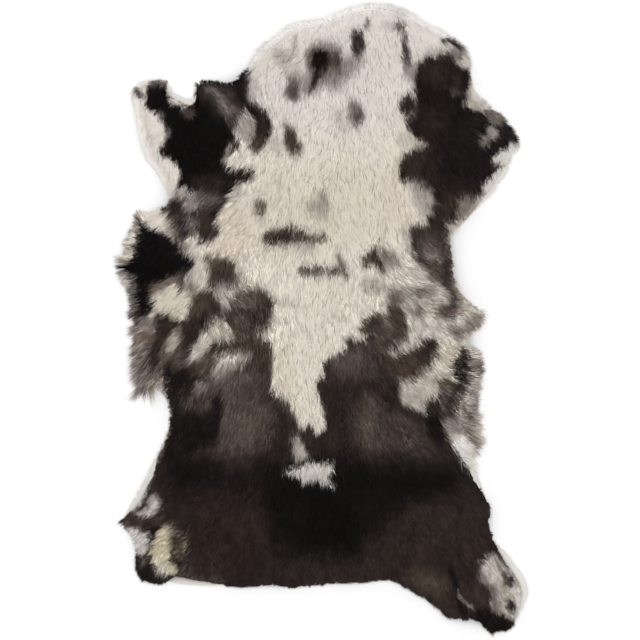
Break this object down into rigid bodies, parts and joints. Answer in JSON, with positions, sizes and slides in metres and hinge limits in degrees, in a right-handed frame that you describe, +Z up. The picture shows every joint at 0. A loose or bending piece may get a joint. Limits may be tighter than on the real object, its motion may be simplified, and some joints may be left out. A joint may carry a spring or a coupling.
{
  "type": "sheepskin",
  "caption": "Whole piebald sheepskin laid out flat, wool side up: tanned skin with a lumpy cream and black-brown pile and loose locks around its rim.",
  "frame": {"origin": "on the ground under the middle of the skin's box", "axes": "+Y points to the neck, +X to the right of the neck seen from above, +Z up out of the wool"},
  "size_m": [0.6935, 1.0582, 0.0335],
  "materials": {
    "wool": "matt wool pile, cream with black-brown patches",
    "skin": "pale tanned skin, matt, bare at parts of the rim and underneath"
  },
  "bodies": {
    "root": {"sheepskin": "wool"}
  },
  "joints": []
}
